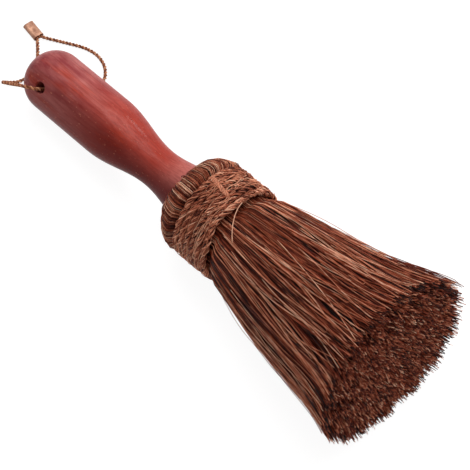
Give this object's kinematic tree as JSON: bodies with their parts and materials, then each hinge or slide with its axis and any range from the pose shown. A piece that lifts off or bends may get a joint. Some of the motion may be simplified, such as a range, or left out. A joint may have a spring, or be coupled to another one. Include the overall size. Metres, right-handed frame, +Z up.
{
  "type": "palm brush",
  "caption": "Hand brush of bound palm fibre on a turned wooden handle, for scrubbing and sweeping, with a cord loop to hang it by.",
  "frame": {"origin": "on the surface that the brush lies on, under the middle of the brush without its cord", "axes": "+X along the brush from the handle to the bristles, +Y to the side that the cord lies on, +Z up"},
  "size_m": [0.2927, 0.0939, 0.0892],
  "materials": {
    "lacquered_wood": "gloss lacquer over fine grain",
    "palm_fibre": "matt coarse fibre",
    "binding_cord": "matt cord",
    "fibre_rope": "matt twisted fibre",
    "twisted_cord": "matt two-ply cord",
    "copper_ferrule": "worn satin"
  },
  "bodies": {
    "root": {"handle": "lacquered_wood", "core_bundle": "palm_fibre", "inner_binding": "binding_cord", "skirt_tuft_1": "palm_fibre", "skirt_tuft_2": "palm_fibre", "skirt_tuft_3": "palm_fibre", "skirt_tuft_4": "palm_fibre", "skirt_tuft_5": "palm_fibre", "skirt_tuft_6": "palm_fibre", "skirt_tuft_7": "palm_fibre", "skirt_tuft_8": "palm_fibre", "outer_binding": "fibre_rope", "hanging_cord": "twisted_cord", "ferrule": "copper_ferrule"}
  },
  "joints": []
}
